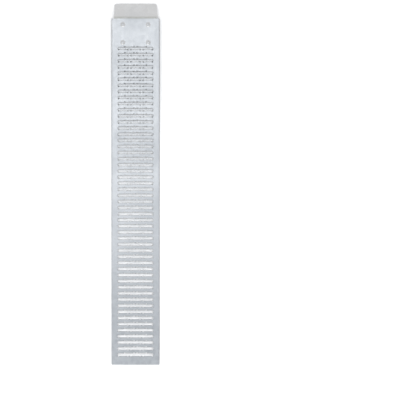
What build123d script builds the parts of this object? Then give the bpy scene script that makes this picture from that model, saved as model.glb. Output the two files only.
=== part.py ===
"""Rigid steel loading ramp: a ribbed deck sheet with a bolted tongue plate.

Frame: millimetres, +X across the ramp, +Y up the slope towards the tongue, +Z up.
The ramp lies tread side up. The origin is on the ground, at the centre of the ramp's outline.
"""

import os
from math import cos, radians, sqrt, tan

from build123d import *

# ---- driving dimensions ------------------------------------------------------------------
OVERALL_LENGTH = 1500.0  # toe edge to tongue tip, seen from above
WIDTH = 200.0
HEIGHT = 42.0  # ground to the flat of the deck
SHEET = 2.0  # deck sheet thickness
FOLD_RADIUS = 4.0  # outside radius of every fold in the deck
LIP_WIDTH = 10.0  # turned-in edge at the foot of each flange
TOE_CUT = 58.0  # how far each flange is cut back at the toe

RIB_PITCH = 25.4
RIB_COUNT = 51
RIB_WIDTH = 12.0
RIB_HEIGHT = 4.0
RIB_LENGTH = 150.0
FIRST_RIB = 123.0  # deck's top end to the first rib's centre line

SLIT_PITCH = 50.8  # slit to slit across the ramp
SLIT_LENGTH = 38.1  # between the centres of a slit's end holes
SLIT_WIDTH = 1.2
SLIT_HOLE_RADIUS = 3.2
SLITS_TOEWARD = 3  # slits along the toe side of a rib
SLITS_TONGUEWARD = 2  # slits along its other side, in the gaps between those

SIDE_HOLE_RADIUS = 4.5
SIDE_HOLE_COUNT = 11
SIDE_HOLE_PITCH = 5 * RIB_PITCH
SIDE_HOLE_DROP = 30.0  # deck surface to the hole's centre
FIRST_SIDE_HOLE = 68.0  # deck's top end to the first hole

PLATE_THICKNESS = 4.0
PLATE_WIDTH = 177.0
PLATE_UNDER_DECK = 110.0  # length of plate held under the deck
PLATE_CORNER = 5.0
TONGUE_REACH = 64.0  # how far the tongue stands past the deck's top end
TONGUE_NECK = 5.0  # from the deck's end to where the bend's two flats would meet
TONGUE_ANGLE = 28.0  # bend of the tongue below the deck's plane
TONGUE_BEND_RADIUS = 8.0
TONGUE_CORNER = 10.0

BOLT_SPACING_X = 105.0
BOLT_SPACING_Y = 74.0
FIRST_BOLT = 25.0  # deck's top end to the upper pair
SQUARE_HOLE = 8.6

BOLT_RADIUS = 4.0
BOLT_LENGTH = 20.0  # under the head
BOLT_NECK = 8.0  # side of the square neck
BOLT_NECK_HEIGHT = 4.6
BOLT_HEAD_RADIUS = 10.0
BOLT_HEAD_HEIGHT = 4.6
BOLT_HEAD_RIM = 0.6  # upright edge below the dome
BOLT_END_CHAMFER = 0.8

WASHER_RADIUS = 8.0
WASHER_HOLE_RADIUS = 4.2
WASHER_THICKNESS = 1.6

NUT_ACROSS_FLATS = 13.0
NUT_BORE_RADIUS = 4.05
NUT_HEX_HEIGHT = 5.5
NUT_HEIGHT = 8.0
NUT_COLLAR_RADIUS = 5.9
NUT_POCKET_RADIUS = 5.1
NUT_POCKET_DEPTH = 2.3
NUT_EDGE_BREAK = 0.5
INSERT_THICKNESS = 1.8

# ---- levels and stations worked out from them ----------------------------------------------
TOE_Y = -OVERALL_LENGTH / 2
TIP_Y = OVERALL_LENGTH / 2
DECK_TOP_Y = TIP_Y - TONGUE_REACH
DECK_LENGTH = DECK_TOP_Y - TOE_Y
WEB_UNDERSIDE = HEIGHT - SHEET
PLATE_UNDERSIDE = WEB_UNDERSIDE - PLATE_THICKNESS

RIB_CENTRE_Y = DECK_TOP_Y - FIRST_RIB - (RIB_COUNT - 1) * RIB_PITCH / 2
SIDE_HOLE_CENTRE_Y = DECK_TOP_Y - FIRST_SIDE_HOLE - (SIDE_HOLE_COUNT - 1) * SIDE_HOLE_PITCH / 2
BOLT_CENTRE_Y = DECK_TOP_Y - FIRST_BOLT - BOLT_SPACING_Y / 2

RIB_RADIUS = ((RIB_WIDTH / 2) ** 2 + RIB_HEIGHT**2) / (2 * RIB_HEIGHT)
RIB_AXIS_Z = HEIGHT + RIB_HEIGHT - RIB_RADIUS
RIB_END_X = (RIB_LENGTH - RIB_WIDTH) / 2  # where a rib's straight stretch ends

BOLT_PLACES = {
    "upper_left": (-BOLT_SPACING_X / 2, BOLT_CENTRE_Y + BOLT_SPACING_Y / 2),
    "upper_right": (BOLT_SPACING_X / 2, BOLT_CENTRE_Y + BOLT_SPACING_Y / 2),
    "lower_left": (-BOLT_SPACING_X / 2, BOLT_CENTRE_Y - BOLT_SPACING_Y / 2),
    "lower_right": (BOLT_SPACING_X / 2, BOLT_CENTRE_Y - BOLT_SPACING_Y / 2),
}


def write(part, name):
    """Label a finished piece and write it to its own STEP file."""
    part.label = name
    export_step(part, f"parts/{name}.step")


def upright_plane(x, y, z):
    """A vertical drawing plane through a point: its axes run along +X and +Z."""
    return Plane(origin=(x, y, z), x_dir=(1, 0, 0), z_dir=(0, -1, 0))


def rib_form(radius, foot_z):
    """A straight ridge of circular section with a domed end at each side.

    The ridge's arc is centred on the rib axis, and below its foot level the form goes
    straight down by one sheet, so that it crosses the sheet it joins or cuts.
    """
    half_width = sqrt(radius**2 - (foot_z - RIB_AXIS_Z) ** 2)
    base_z = foot_z - SHEET / 2
    crown_z = RIB_AXIS_Z + radius
    with BuildPart() as form:
        with BuildSketch(Plane.YZ):
            with BuildLine():
                ThreePointArc((-half_width, foot_z), (0, crown_z), (half_width, foot_z))
                Polyline(
                    (half_width, foot_z), (half_width, base_z), (-half_width, base_z), (-half_width, foot_z)
                )
            make_face()
        extrude(amount=RIB_END_X, both=True)
        for side in (-1, 1):
            end_x = side * RIB_END_X
            middle_x = half_width / 2
            middle = (middle_x, RIB_AXIS_Z + sqrt(radius**2 - middle_x**2))
            with BuildSketch(upright_plane(end_x, 0, 0)):
                with BuildLine():
                    ThreePointArc((0, crown_z), middle, (half_width, foot_z))
                    Polyline((half_width, foot_z), (half_width, base_z), (0, base_z), (0, crown_z))
                make_face()
            revolve(axis=Axis((end_x, 0, 0), (0, 0, 1)))
    return form.part


def slit_outline():
    """A narrow slit with a round relief hole at each end, drawn about its own centre."""
    with BuildSketch() as slit:
        Rectangle(SLIT_LENGTH, SLIT_WIDTH)
        with GridLocations(SLIT_LENGTH, 0, 2, 1):
            Circle(SLIT_HOLE_RADIUS)
    return slit.sketch


def channel():
    """The folded sheet before ribs and holes: web, two flanges and two turned-in lips."""
    half = WIDTH / 2
    with BuildPart() as blank:
        with BuildLine(Plane.XZ.offset(-DECK_TOP_Y)):
            FilletPolyline(
                (half - LIP_WIDTH, 0),
                (half, 0),
                (half, HEIGHT),
                (-half, HEIGHT),
                (-half, 0),
                (LIP_WIDTH - half, 0),
                radius=FOLD_RADIUS,
            )
        make_brake_formed(SHEET, DECK_LENGTH, side=Side.RIGHT)
        # the flanges run out to nothing at the toe, so that the web's edge meets the ground
        with BuildSketch(Plane.YZ):
            with BuildLine():
                Polyline((TOE_Y, WEB_UNDERSIDE), (TOE_Y + TOE_CUT, 0), (TOE_Y, 0), close=True)
            make_face()
        extrude(amount=WIDTH, both=True, mode=Mode.SUBTRACT)
    return blank.part


def deck():
    """The tread: one sheet, folded, ribbed, slit beside each rib and drilled along its flanges."""
    slit = slit_outline()
    with BuildPart() as sheet:
        add(channel())
        with Locations(*rib_places()):
            add(rib_form(RIB_RADIUS, HEIGHT))
        with Locations(*rib_places()):
            add(rib_form(RIB_RADIUS - SHEET, WEB_UNDERSIDE), mode=Mode.SUBTRACT)
        with BuildSketch(Plane.XY.offset(HEIGHT + RIB_HEIGHT)):
            with Locations((0, RIB_CENTRE_Y - RIB_WIDTH / 2)):
                with GridLocations(SLIT_PITCH, RIB_PITCH, SLITS_TOEWARD, RIB_COUNT):
                    add(slit)
            with Locations((0, RIB_CENTRE_Y + RIB_WIDTH / 2)):
                with GridLocations(SLIT_PITCH, RIB_PITCH, SLITS_TONGUEWARD, RIB_COUNT):
                    add(slit)
            with Locations((0, BOLT_CENTRE_Y)):
                with GridLocations(BOLT_SPACING_X, BOLT_SPACING_Y, 2, 2):
                    Rectangle(SQUARE_HOLE, SQUARE_HOLE)
        extrude(amount=-HEIGHT / 2, mode=Mode.SUBTRACT)
        with BuildSketch(Plane.YZ):
            with Locations((SIDE_HOLE_CENTRE_Y, HEIGHT - SIDE_HOLE_DROP)):
                with GridLocations(SIDE_HOLE_PITCH, 0, SIDE_HOLE_COUNT, 1):
                    Circle(SIDE_HOLE_RADIUS)
        extrude(amount=WIDTH, both=True, mode=Mode.SUBTRACT)
    return sheet.part


def rib_places():
    """The middle of each rib, from the tongue end to the toe."""
    first = DECK_TOP_Y - FIRST_RIB
    return [(0, first - number * RIB_PITCH) for number in range(RIB_COUNT)]


def tongue_plate():
    """A flat plate under the deck's top end, bent down past it to rest on the load bed."""
    bend_y = DECK_TOP_Y + TONGUE_NECK
    tip_z = WEB_UNDERSIDE - (TIP_Y - bend_y) * tan(radians(TONGUE_ANGLE))
    with BuildPart() as plate:
        with BuildLine(Plane.YZ.offset(PLATE_WIDTH / 2)):
            FilletPolyline(
                (DECK_TOP_Y - PLATE_UNDER_DECK, WEB_UNDERSIDE),
                (bend_y, WEB_UNDERSIDE),
                (TIP_Y, tip_z),
                radius=TONGUE_BEND_RADIUS,
            )
        make_brake_formed(PLATE_THICKNESS, PLATE_WIDTH, side=Side.RIGHT)
        corners = plate.edges().filter_by(GeomType.LINE).filter_by(lambda e: e.length < 2 * PLATE_THICKNESS)
        fillet(corners.group_by(Axis.Y)[0], radius=PLATE_CORNER)
        corners = plate.edges().filter_by(GeomType.LINE).filter_by(lambda e: e.length < 2 * PLATE_THICKNESS)
        fillet(corners.group_by(Axis.Y)[-1], radius=TONGUE_CORNER)
        with BuildSketch(Plane.XY.offset(HEIGHT)):
            with Locations(*BOLT_PLACES.values()):
                Rectangle(SQUARE_HOLE, SQUARE_HOLE)
        extrude(amount=-HEIGHT / 2, mode=Mode.SUBTRACT)
    return plate.part


def bolt(x, y):
    """A carriage bolt: domed head on the deck, square neck in the square holes, plain shank."""
    dome = BOLT_HEAD_HEIGHT - BOLT_HEAD_RIM
    dome_radius = (BOLT_HEAD_RADIUS**2 + dome**2) / (2 * dome)
    middle_x = BOLT_HEAD_RADIUS / 2
    middle_z = BOLT_HEAD_HEIGHT - dome_radius + sqrt(dome_radius**2 - middle_x**2)
    with BuildPart() as screw:
        with BuildSketch(upright_plane(x, y, HEIGHT)):
            with BuildLine():
                ThreePointArc(
                    (0, BOLT_HEAD_HEIGHT), (middle_x, middle_z), (BOLT_HEAD_RADIUS, BOLT_HEAD_RIM)
                )
                Polyline(
                    (BOLT_HEAD_RADIUS, BOLT_HEAD_RIM),
                    (BOLT_HEAD_RADIUS, 0),
                    (BOLT_RADIUS, 0),
                    (BOLT_RADIUS, BOLT_END_CHAMFER - BOLT_LENGTH),
                    (BOLT_RADIUS - BOLT_END_CHAMFER, -BOLT_LENGTH),
                    (0, -BOLT_LENGTH),
                    (0, BOLT_HEAD_HEIGHT),
                )
            make_face()
        revolve(axis=Axis((x, y, 0), (0, 0, 1)))
        with BuildSketch(Plane((x, y, HEIGHT))):
            Rectangle(BOLT_NECK, BOLT_NECK)
        extrude(amount=-BOLT_NECK_HEIGHT)
    return screw.part


def washer(x, y):
    """A flat washer under the plate."""
    with BuildPart() as ring:
        with BuildSketch(Plane((x, y, PLATE_UNDERSIDE))):
            Circle(WASHER_RADIUS)
            Circle(WASHER_HOLE_RADIUS, mode=Mode.SUBTRACT)
        extrude(amount=-WASHER_THICKNESS)
        chamfer(ring.edges().group_by(Axis.Z)[0].sort_by(SortBy.RADIUS)[-1], length=NUT_EDGE_BREAK / 2)
    return ring.part


def nut(x, y):
    """A lock nut: a hexagon with broken corners, and below it a round collar with a pocket."""
    seat = PLATE_UNDERSIDE - WASHER_THICKNESS
    corner_radius = NUT_ACROSS_FLATS / 2 / cos(radians(30))
    flat_radius = NUT_ACROSS_FLATS / 2
    corner_drop = (corner_radius - flat_radius) * tan(radians(30))
    with BuildPart() as body:
        with BuildSketch(Plane((x, y, seat))):
            RegularPolygon(radius=flat_radius, side_count=6, major_radius=False)
        extrude(amount=-NUT_HEX_HEIGHT)
        # a turned outline takes the sharp corners off both ends of the hexagon
        with BuildSketch(upright_plane(x, y, seat)):
            with BuildLine():
                Polyline(
                    (0, 0),
                    (flat_radius, 0),
                    (corner_radius, -corner_drop),
                    (corner_radius, corner_drop - NUT_HEX_HEIGHT),
                    (flat_radius, -NUT_HEX_HEIGHT),
                    (0, -NUT_HEX_HEIGHT),
                    close=True,
                )
            make_face()
        revolve(axis=Axis((x, y, 0), (0, 0, 1)), mode=Mode.INTERSECT)
        with BuildSketch(Plane((x, y, seat - NUT_HEX_HEIGHT))):
            Circle(NUT_COLLAR_RADIUS)
        extrude(amount=NUT_HEX_HEIGHT - NUT_HEIGHT)
        fillet(body.edges().group_by(Axis.Z)[0], radius=NUT_EDGE_BREAK)
        with BuildSketch(Plane((x, y, seat))):
            Circle(NUT_BORE_RADIUS)
        extrude(amount=-NUT_HEIGHT, mode=Mode.SUBTRACT)
        with BuildSketch(Plane((x, y, seat - NUT_HEIGHT))):
            Circle(NUT_POCKET_RADIUS)
        extrude(amount=NUT_POCKET_DEPTH, mode=Mode.SUBTRACT)
    return body.part


def nut_insert(x, y):
    """The ring in a lock nut's pocket that grips the bolt."""
    pocket_floor = PLATE_UNDERSIDE - WASHER_THICKNESS - NUT_HEIGHT + NUT_POCKET_DEPTH
    with BuildPart() as ring:
        with BuildSketch(Plane((x, y, pocket_floor))):
            Circle(NUT_POCKET_RADIUS)
            Circle(NUT_BORE_RADIUS, mode=Mode.SUBTRACT)
        extrude(amount=-INSERT_THICKNESS)
    return ring.part


def main():
    os.makedirs("parts", exist_ok=True)
    write(deck(), "deck")
    write(tongue_plate(), "tongue_plate")
    for place, (x, y) in BOLT_PLACES.items():
        write(bolt(x, y), f"bolt_{place}")
        write(washer(x, y), f"washer_{place}")
        write(nut(x, y), f"nut_{place}")
        write(nut_insert(x, y), f"nut_insert_{place}")


main()
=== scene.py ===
"""Looks for the steel loading ramp: galvanised sheet, zinc-plated fasteners, light and camera.

Lengths are in metres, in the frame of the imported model: +X across the ramp, +Y towards the
tongue, +Z up, with the ground at z = 0.
"""

from math import asin, cos, radians, sin, tau

import bmesh
import bpy
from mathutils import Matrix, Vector


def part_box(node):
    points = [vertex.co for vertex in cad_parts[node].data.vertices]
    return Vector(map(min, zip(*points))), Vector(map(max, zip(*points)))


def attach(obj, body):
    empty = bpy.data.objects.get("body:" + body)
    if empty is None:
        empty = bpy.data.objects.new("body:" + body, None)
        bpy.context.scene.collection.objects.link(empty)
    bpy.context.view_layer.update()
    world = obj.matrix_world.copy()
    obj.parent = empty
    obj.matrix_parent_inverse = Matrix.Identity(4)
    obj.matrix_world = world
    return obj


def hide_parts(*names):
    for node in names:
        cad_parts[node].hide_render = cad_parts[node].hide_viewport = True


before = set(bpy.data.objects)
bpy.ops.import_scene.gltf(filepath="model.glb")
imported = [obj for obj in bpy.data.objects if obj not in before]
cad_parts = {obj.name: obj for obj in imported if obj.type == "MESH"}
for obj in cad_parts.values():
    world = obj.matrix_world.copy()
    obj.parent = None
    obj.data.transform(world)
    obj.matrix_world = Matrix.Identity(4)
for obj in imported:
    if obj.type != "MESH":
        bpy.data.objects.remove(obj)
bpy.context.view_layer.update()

PLACES = ("upper_left", "upper_right", "lower_left", "lower_right")

# ---- bolt, as its CAD solid, with the thread cut --------------------------------------------
BOLT_SIDES = 48
THREAD_PITCH = 0.00125
THREAD_DEPTH = 0.00062
THREAD_ROW = 0.00018  # height of one row of faces along the thread
THREAD_SLOPE = 1.35  # above 1 the flanks reach full height before the crest, which leaves it flat
THREAD_ROOT = 0.12  # share of that rise cut off at the bottom, which leaves the root flat
THREAD_RUNOUT = 0.0006  # plain shank between the thread and the neck
SHANK_RADIUS = 0.004
RUNOUT_SHARE = 0.97  # radius under the neck, as a share of the shank's
TIP_CHAMFER = 0.0008
NECK_HALF = 0.004
NECK_CORNER = 0.0053  # the neck's corners are rounded off at this radius
NECK_HEIGHT = 0.0046
NECK_EDGE = 0.0001  # slope at each end of the neck
NECK_FLARE = 0.0004  # how far the neck's corners spread where they meet the head
HEAD_RADIUS = 0.010
HEAD_HEIGHT = 0.0046
HEAD_RIM = 0.0006
HEAD_GAP = 0.00002  # keeps the head's underside off the deck
HEAD_CHAMFER = 0.0002
DOME_ROWS = 14
SHARP_EDGE = radians(40)  # faces that meet at more than this show an edge

# ---- places on the ramp ----------------------------------------------------------------------
DECK_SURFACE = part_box("bolt_upper_left")[1].z - HEAD_HEIGHT  # the bolt heads sit on it
DECK_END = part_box("deck")[1].y
RUB_AND_HIGHLIGHT_LOW = DECK_SURFACE + 0.0003  # on a rib, the rubbing and painted highlight start here
RUB_AND_HIGHLIGHT_HIGH = DECK_SURFACE + 0.0015  # and are full from here up
# where the painted shade on the plate starts, is darkest and fades out
SHADE_START = DECK_END - 0.003
SHADE_PEAK = DECK_END + 0.002
SHADE_END = DECK_END + 0.012

# ---- camera ----------------------------------------------------------------------------------
VIEW_SPAN = 1.659  # width of ground that the view takes in
VIEW_CENTRE = (0.2675, -0.0665)  # the ramp stands left of the middle and a little high
CAMERA_HEIGHT = 12.0
SENSOR = 36.0  # in millimetres, as the camera's lens is

# ---- stage -----------------------------------------------------------------------------------
FLOOR_REACH = 12.0  # from the middle of the floor to each edge
FLOOR_DROP = 0.0002  # keeps the floor off the ramp's underside
ROOM = (  # the room's colour by height: 0 is the horizon and all below it, 1 is straight up
    (0.0, (0.48, 0.49, 0.50, 1.0)),
    (0.04, (0.94, 0.94, 0.94, 1.0)),
    (0.60, (0.94, 0.94, 0.94, 1.0)),
    (0.95, (0.44, 0.475, 0.52, 1.0)),
)


# ---- materials -------------------------------------------------------------------------------
class Nodes:
    """A material's node tree, with one method for each kind of node used here."""

    def __init__(self, name):
        self.material = bpy.data.materials.new(name)
        self.material.use_nodes = True
        self.tree = self.material.node_tree
        self.shader = self.tree.nodes["Principled BSDF"]
        self.place = self.tree.nodes.new("ShaderNodeTexCoord").outputs["Object"]

    def link(self, source, socket):
        """Feeds a socket from an output, or sets it to a plain value."""
        if hasattr(source, "node"):
            self.tree.links.new(source, socket)
        else:
            socket.default_value = source

    def stretched(self, scale):
        """The place in space, scaled along X, Y and Z: a pattern on it is long where this is small."""
        mapping = self.tree.nodes.new("ShaderNodeMapping")
        self.link(self.place, mapping.inputs["Vector"])
        mapping.inputs["Scale"].default_value = scale
        return mapping.outputs["Vector"]

    def noise(self, vector, scale, detail=3.0):
        """A cloudy pattern from 0 to 1, with about scale clouds to each unit of the vector."""
        texture = self.tree.nodes.new("ShaderNodeTexNoise")
        self.link(vector, texture.inputs["Vector"])
        texture.inputs["Scale"].default_value = scale
        texture.inputs["Detail"].default_value = detail
        texture.inputs["Roughness"].default_value = 0.55
        return texture.outputs["Fac"]

    def crystals(self, size):
        """A random value for each spangle, and how far a point is from its spangle's centre."""
        bend = self.tree.nodes.new("ShaderNodeTexNoise")
        self.link(self.place, bend.inputs["Vector"])
        bend.inputs["Scale"].default_value = 0.6 / size
        moved = self.tree.nodes.new("ShaderNodeVectorMath")
        moved.operation = "MULTIPLY_ADD"
        self.link(bend.outputs["Color"], moved.inputs[0])
        moved.inputs[1].default_value = (size, size, size)
        self.link(self.place, moved.inputs[2])
        cells = self.tree.nodes.new("ShaderNodeTexVoronoi")
        self.link(moved.outputs["Vector"], cells.inputs["Vector"])
        cells.inputs["Scale"].default_value = 1 / size
        shade = self.tree.nodes.new("ShaderNodeSeparateColor")
        self.link(cells.outputs["Color"], shade.inputs["Color"])
        return shade.outputs["Red"], cells.outputs["Distance"]

    def axis(self, name, of=None):
        """One coordinate of the place in space, or of another vector."""
        split = self.tree.nodes.new("ShaderNodeSeparateXYZ")
        self.link(of or self.place, split.inputs["Vector"])
        return split.outputs[name]

    def facing(self, name):
        """How much the surface faces along an axis, either way."""
        geometry = self.tree.nodes.new("ShaderNodeNewGeometry")
        return self.math("ABSOLUTE", self.axis(name, geometry.outputs["True Normal"]))

    def span(self, value, low, high, to_low=0.0, to_high=1.0):
        """Maps low..high to to_low..to_high, held at both ends."""
        mapped = self.tree.nodes.new("ShaderNodeMapRange")
        self.link(value, mapped.inputs["Value"])
        mapped.inputs["From Min"].default_value = low
        mapped.inputs["From Max"].default_value = high
        mapped.inputs["To Min"].default_value = to_low
        mapped.inputs["To Max"].default_value = to_high
        return mapped.outputs["Result"]

    def math(self, operation, first, second=0.0):
        worked = self.tree.nodes.new("ShaderNodeMath")
        worked.operation = operation
        self.link(first, worked.inputs[0])
        self.link(second, worked.inputs[1])
        return worked.outputs["Value"]

    def times(self, first, second):
        return self.math("MULTIPLY", first, second)

    def plus(self, first, second):
        return self.math("ADD", first, second)

    def mix(self, share, first, second):
        """Goes from the first colour to the second as share goes from 0 to 1."""
        mixed = self.tree.nodes.new("ShaderNodeMix")
        mixed.data_type = "RGBA"
        self.link(share, mixed.inputs["Factor"])
        self.link(first, mixed.inputs["A"])
        self.link(second, mixed.inputs["B"])
        return mixed.outputs["Result"]

    def bump(self, height, strength, distance):
        relief = self.tree.nodes.new("ShaderNodeBump")
        self.link(height, relief.inputs["Height"])
        relief.inputs["Strength"].default_value = strength
        relief.inputs["Distance"].default_value = distance
        self.link(relief.outputs["Normal"], self.shader.inputs["Normal"])

    def surface(self, colour, rough, metallic=0.0):
        """Gives the material its colour, roughness and share of metal."""
        self.link(colour, self.shader.inputs["Base Color"])
        self.link(rough, self.shader.inputs["Roughness"])
        self.shader.inputs["Metallic"].default_value = metallic
        return self.material


def grey(level, blue=1.0):
    """A metal's colour: one grey level, with the blue channel a little stronger or weaker."""
    return (level, level * (1 + blue) / 2, level * blue, 1.0)


def rubbed_ribs_and_painted_highlight(nodes, level, colour, rough):
    """The rib crests are painted brighter, partly as rubbing by tyres and partly as a painted
    highlight that grows stronger towards the toe.
    """
    crest = nodes.span(nodes.axis("Z"), RUB_AND_HIGHLIGHT_LOW, RUB_AND_HIGHLIGHT_HIGH)
    patchy = nodes.span(nodes.noise(nodes.place, 60.0), 0.30, 0.62, 0.55, 1.0)
    highlight_towards_toe = nodes.span(nodes.axis("Y"), 0.40, -0.25, 0.15, 1.0)
    rub_and_highlight = nodes.times(nodes.times(crest, patchy), highlight_towards_toe)
    # painted highlight along with the rubbed wear: crests lighter, most of all towards the toe
    colour = nodes.mix(rub_and_highlight, colour, grey(level * 1.30))
    return colour, nodes.plus(rough, nodes.times(rub_and_highlight, -0.02))


def painted_shade_at_deck_end(nodes, level, colour, rough):
    """Painted shade on the plate where it comes out from under the deck: darkest just past the deck's
    end, fading out further along.
    """
    arrives = nodes.span(nodes.axis("Y"), SHADE_START, SHADE_PEAK)
    thins = nodes.span(nodes.axis("Y"), SHADE_PEAK, SHADE_END, 1.0, 0.0)
    streaky = nodes.noise(nodes.stretched((45.0, 160.0, 160.0)), 1.0, detail=5.0)
    painted_shade = nodes.times(nodes.times(arrives, thins), nodes.span(streaky, 0.25, 0.60, 0.6, 1.0))
    # painted shade: the plate darkened just past the deck's end, with a little more roughness
    colour = nodes.mix(painted_shade, colour, (level * 0.72, level * 0.72, level * 0.66, 1.0))
    return colour, nodes.plus(rough, nodes.times(painted_shade, 0.12))


def galvanised(name, level, blue, spangle, dull, marks_and_painted_light):
    """Zinc-coated sheet: spangles, cloudy patches, rolling grain, fine scuffs, added wear and painted
    light (a painted highlight on the deck's ribs, painted shade on the plate), and darker cut edges."""
    nodes = Nodes(name)
    cell, from_centre = nodes.crystals(spangle)
    clouds = nodes.noise(nodes.place, 7.0, detail=5.0)
    grain = nodes.noise(nodes.stretched((700.0, 18.0, 700.0)), 1.0, detail=2.0)
    scratches = nodes.noise(nodes.stretched((190.0, 7.0, 190.0)), 1.0, detail=6.0)
    scuffs = nodes.span(scratches, 0.60, 0.74)
    speckle = nodes.span(nodes.noise(nodes.place, 420.0, detail=2.0), 0.66, 0.76)

    colour = nodes.mix(cell, grey(level * 0.93, blue), grey(level * 1.05, blue))
    clouded = nodes.span(clouds, 0.35, 0.68, 0.0, 0.55)
    colour = nodes.mix(clouded, colour, grey(level * 0.90, blue * 1.03))
    colour = nodes.mix(nodes.times(scuffs, 0.45), colour, grey(level * 1.16))
    colour = nodes.mix(nodes.times(speckle, 0.35), colour, grey(level * 0.70))
    rough = nodes.span(cell, 0.0, 1.0, dull - 0.05, dull + 0.05)
    rough = nodes.plus(rough, nodes.span(clouds, 0.3, 0.7, -0.04, 0.06))
    rough = nodes.plus(rough, nodes.span(grain, 0.3, 0.7, -0.03, 0.03))

    # adds each sheet's wear and painted light: highlight on the deck's rib crests, shade on the plate
    colour, rough = marks_and_painted_light(nodes, level, colour, rough)

    cut = nodes.span(nodes.facing("Y"), 0.955, 0.985)
    colour = nodes.mix(nodes.times(cut, 0.45), colour, grey(level * 0.62))
    rough = nodes.plus(rough, nodes.times(cut, 0.12))

    height = nodes.plus(nodes.span(grain, 0.2, 0.8), nodes.times(from_centre, 0.5))
    height = nodes.math("SUBTRACT", height, nodes.times(scuffs, 0.6))
    nodes.bump(height, 0.16, 0.00012)
    return nodes.surface(colour, rough, metallic=1.0)


def zinc_plate(name, level, blue, dull):
    """Bright zinc plating on a small steel part: faint clouds, handling marks and pinprick wear."""
    nodes = Nodes(name)
    clouds = nodes.noise(nodes.place, 240.0, detail=4.0)
    handled = nodes.noise(nodes.stretched((900.0, 900.0, 250.0)), 1.0, detail=4.0)
    marks = nodes.span(handled, 0.60, 0.72)
    pits = nodes.span(nodes.noise(nodes.place, 2600.0, detail=1.0), 0.68, 0.78)

    colour = nodes.mix(clouds, grey(level * 0.92, blue), grey(level * 1.07, blue * 0.99))
    colour = nodes.mix(nodes.times(marks, 0.5), colour, grey(level * 0.80))
    colour = nodes.mix(nodes.times(pits, 0.5), colour, grey(level * 0.55))
    rough = nodes.span(clouds, 0.3, 0.7, dull - 0.05, dull + 0.07)
    rough = nodes.plus(rough, nodes.times(marks, 0.15))
    nodes.bump(nodes.plus(clouds, nodes.times(pits, -0.6)), 0.12, 0.00006)
    return nodes.surface(colour, rough, metallic=1.0)


def nylon(name):
    """The blue locking ring in a nut: matt moulded nylon with a fine mottle."""
    nodes = Nodes(name)
    mottle = nodes.noise(nodes.place, 900.0, detail=4.0)
    colour = nodes.mix(mottle, (0.035, 0.075, 0.25, 1.0), (0.06, 0.12, 0.36, 1.0))
    nodes.bump(mottle, 0.10, 0.00005)
    return nodes.surface(colour, nodes.span(mottle, 0.3, 0.7, 0.42, 0.58))


def pale_floor(name):
    """A plain pale studio floor."""
    nodes = Nodes(name)
    mottle = nodes.noise(nodes.place, 30.0, detail=2.0)
    colour = nodes.mix(mottle, (0.90, 0.90, 0.90, 1.0), (0.92, 0.92, 0.92, 1.0))
    nodes.shader.inputs["Specular IOR Level"].default_value = 0.1
    return nodes.surface(colour, 0.9)


def dress(piece, material):
    """Gives a piece one material all over."""
    piece.data.materials.clear()
    piece.data.materials.append(material)


def add_mesh(name, mesh, material):
    """Makes an object of a finished bmesh, in one material, and puts it in the scene."""
    data = bpy.data.meshes.new(name)
    mesh.to_mesh(data)
    mesh.free()
    piece = bpy.data.objects.new(name, data)
    bpy.context.scene.collection.objects.link(piece)
    dress(piece, material)
    return piece


# ---- bolts -----------------------------------------------------------------------------------
def thread_radius(height, angle):
    """Radius of the shank where the thread passes: sloping flanks between a crest and a root."""
    turn = (height / THREAD_PITCH - angle / tau) % 1.0
    rise = THREAD_SLOPE * (1 - abs(2 * turn - 1)) - THREAD_ROOT
    return SHANK_RADIUS - THREAD_DEPTH * (1 - min(1.0, max(0.0, rise)))


def neck_radius(angle):
    """Outline of the square neck, with its corners rounded off."""
    square = NECK_HALF / max(abs(cos(angle)), abs(sin(angle)))
    return min(square, NECK_CORNER)


def bolt_rings(tip_z, seat_z):
    """The bolt's outline as rings from its tip to its head: each is a height and a radius by
    angle."""
    rings = []
    neck_z = seat_z - NECK_HEIGHT
    thread_length = neck_z - THREAD_RUNOUT - tip_z
    rows = round(thread_length / THREAD_ROW)
    for row in range(rows + 1):
        height = tip_z + thread_length * row / rows
        lead = SHANK_RADIUS - TIP_CHAMFER + (height - tip_z)
        rings.append((height, lambda a, h=height, r=lead: min(r, thread_radius(h, a))))
    rings.append((neck_z, lambda a: SHANK_RADIUS * RUNOUT_SHARE))
    rings.append((neck_z + NECK_EDGE, neck_radius))
    rings.append((seat_z - NECK_EDGE, neck_radius))
    rings.append((seat_z + HEAD_GAP, lambda a: NECK_CORNER + NECK_FLARE))
    rings.append((seat_z + HEAD_GAP, lambda a: HEAD_RADIUS - HEAD_CHAMFER))
    rings.append((seat_z + HEAD_GAP + HEAD_CHAMFER, lambda a: HEAD_RADIUS))
    rings.append((seat_z + HEAD_RIM, lambda a: HEAD_RADIUS))
    dome = HEAD_HEIGHT - HEAD_RIM
    dome_radius = (HEAD_RADIUS**2 + dome**2) / (2 * dome)
    for row in range(1, DOME_ROWS):
        lean = asin(HEAD_RADIUS / dome_radius) * (1 - row / DOME_ROWS)
        height = seat_z + HEAD_HEIGHT - dome_radius * (1 - cos(lean))
        rings.append((height, lambda a, r=dome_radius * sin(lean): r))
    return rings


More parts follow.
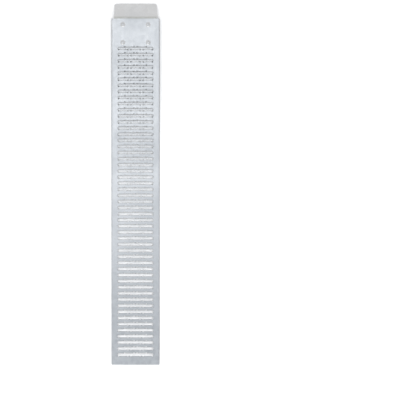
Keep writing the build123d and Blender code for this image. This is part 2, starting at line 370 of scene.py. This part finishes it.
def add_bolt(place, material):
    """A carriage bolt with a cut thread, standing for the plain CAD bolt of the same size."""
    low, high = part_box(f"bolt_{place}")
    centre = (low + high) / 2
    mesh = bmesh.new()
    tip = mesh.verts.new((centre.x, centre.y, low.z))
    loops = []
    for height, radius in bolt_rings(low.z, high.z - HEAD_HEIGHT):
        ring = []
        for side in range(BOLT_SIDES):
            angle = tau * side / BOLT_SIDES
            x = centre.x + radius(angle) * cos(angle)
            y = centre.y + radius(angle) * sin(angle)
            ring.append(mesh.verts.new((x, y, height)))
        loops.append(ring)
    crown = mesh.verts.new((centre.x, centre.y, high.z))
    for side in range(BOLT_SIDES):
        after = (side + 1) % BOLT_SIDES
        mesh.faces.new((tip, loops[0][after], loops[0][side]))
        mesh.faces.new((crown, loops[-1][side], loops[-1][after]))
        for below, above in zip(loops, loops[1:]):
            mesh.faces.new((below[side], below[after], above[after], above[side]))
    bmesh.ops.recalc_face_normals(mesh, faces=mesh.faces)
    for face in mesh.faces:
        face.smooth = True
    for edge in mesh.edges:
        edge.smooth = edge.calc_face_angle(0.0) < SHARP_EDGE
    piece = add_mesh(f"threaded_bolt_{place}", mesh, material)
    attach(piece, "root")
    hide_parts(f"bolt_{place}")


# ---- floor, lamps, room and camera -----------------------------------------------------------
def add_floor():
    """The ground the ramp lies on."""
    mesh = bmesh.new()
    bmesh.ops.create_grid(mesh, x_segments=1, y_segments=1, size=FLOOR_REACH)
    floor = add_mesh("floor", mesh, pale_floor("pale_floor"))
    floor.location.z = -FLOOR_DROP
    floor.visible_glossy = False  # the steel mirrors the even room, not the glare of the floor
    return floor


def add_lamp(name, kind, energy):
    """A lamp of one kind, at the origin."""
    data = bpy.data.lights.new(name, kind)
    data.energy = energy
    lamp = bpy.data.objects.new(name, data)
    bpy.context.scene.collection.objects.link(lamp)
    return lamp


def add_floor_lights(floor):
    """Two lamps that light only the floor: one keeps it nearly white, and one shines on it through
    the tread's holes, which therefore look light near the toe and dark towards the tongue."""
    floor_only = bpy.data.collections.new("floor_only")
    floor_only.objects.link(floor)

    daylight = add_lamp("floor_light", "SUN", 1.3)
    daylight.data.angle = radians(40)
    daylight.light_linking.receiver_collection = floor_only

    spot = add_lamp("hole_light", "SPOT", 115.0)
    spot.data.spot_size = radians(40)
    spot.data.spot_blend = 0.7
    spot.location = (0.0, -0.60, 3.0)
    spot.light_linking.receiver_collection = floor_only
    spot.light_linking.blocker_collection = floor_only


def add_softbox(name, place, aim, size, power):
    """A large oblong lamp that the camera doesn't see."""
    lamp = add_lamp(name, "AREA", power)
    lamp.data.shape = "RECTANGLE"
    lamp.data.size, lamp.data.size_y = size
    lamp.location = place
    lamp.rotation_euler = (Vector(aim) - Vector(place)).to_track_quat("-Z", "Y").to_euler()
    lamp.visible_camera = False


def add_room():
    """Surroundings with pale walls all round, a cooler grey overhead and a darker ground."""
    world = bpy.data.worlds.new("room")
    world.use_nodes = True
    tree = world.node_tree
    direction = tree.nodes.new("ShaderNodeTexCoord")
    split = tree.nodes.new("ShaderNodeSeparateXYZ")
    tree.links.new(direction.outputs["Generated"], split.inputs["Vector"])
    ramp = tree.nodes.new("ShaderNodeValToRGB")
    tree.links.new(split.outputs["Z"], ramp.inputs["Fac"])
    stops = ramp.color_ramp.elements
    stops[0].position, stops[0].color = ROOM[0]
    stops[1].position, stops[1].color = ROOM[-1]
    for height, colour in ROOM[1:-1]:
        stops.new(height).color = colour
    tree.links.new(ramp.outputs["Color"], tree.nodes["Background"].inputs["Color"])
    bpy.context.scene.world = world


def add_camera():
    """Looks straight down on the tread from far off, with the tongue at the top of the view."""
    data = bpy.data.cameras.new("camera")
    data.sensor_width = SENSOR
    data.lens = SENSOR * (CAMERA_HEIGHT - DECK_SURFACE) / VIEW_SPAN
    data.clip_end = 100.0
    camera = bpy.data.objects.new("camera", data)
    camera.location = (*VIEW_CENTRE, CAMERA_HEIGHT)
    bpy.context.scene.collection.objects.link(camera)
    bpy.context.scene.camera = camera


# ---- the scene -------------------------------------------------------------------------------
def dress_frame():
    """Materials for the CAD nodes that stay."""
    deck_steel = galvanised("galvanised_deck", 0.60, 1.05, 0.011, 0.40, rubbed_ribs_and_painted_highlight)
    plate_steel = galvanised("galvanised_plate", 0.77, 0.99, 0.016, 0.46, painted_shade_at_deck_end)
    washer_zinc = zinc_plate("washer_zinc", 0.68, 1.01, 0.34)
    nut_zinc = zinc_plate("nut_zinc", 0.66, 1.02, 0.30)
    ring_nylon = nylon("insert_nylon")
    dress(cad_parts["deck"], deck_steel)
    dress(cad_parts["tongue_plate"], plate_steel)
    for place in PLACES:
        dress(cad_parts[f"washer_{place}"], washer_zinc)
        dress(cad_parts[f"nut_{place}"], nut_zinc)
        dress(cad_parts[f"nut_insert_{place}"], ring_nylon)


def main():
    bpy.context.scene.view_settings.view_transform = "Standard"
    add_camera()
    add_room()
    floor = add_floor()
    add_softbox(
        "overhead", place=(-0.16, 0.50, 2.6), aim=(-0.16, 0.45, 0.0), size=(1.2, 1.7), power=9.4
    )
    add_softbox(
        "toe_side", place=(-0.25, -1.75, 1.05), aim=(0.0, -0.50, 0.0), size=(2.3, 1.5), power=10.5
    )
    add_floor_lights(floor)
    dress_frame()
    bolt_zinc = zinc_plate("bolt_zinc", 0.66, 1.02, 0.34)
    for place in PLACES:
        add_bolt(place, bolt_zinc)


main()
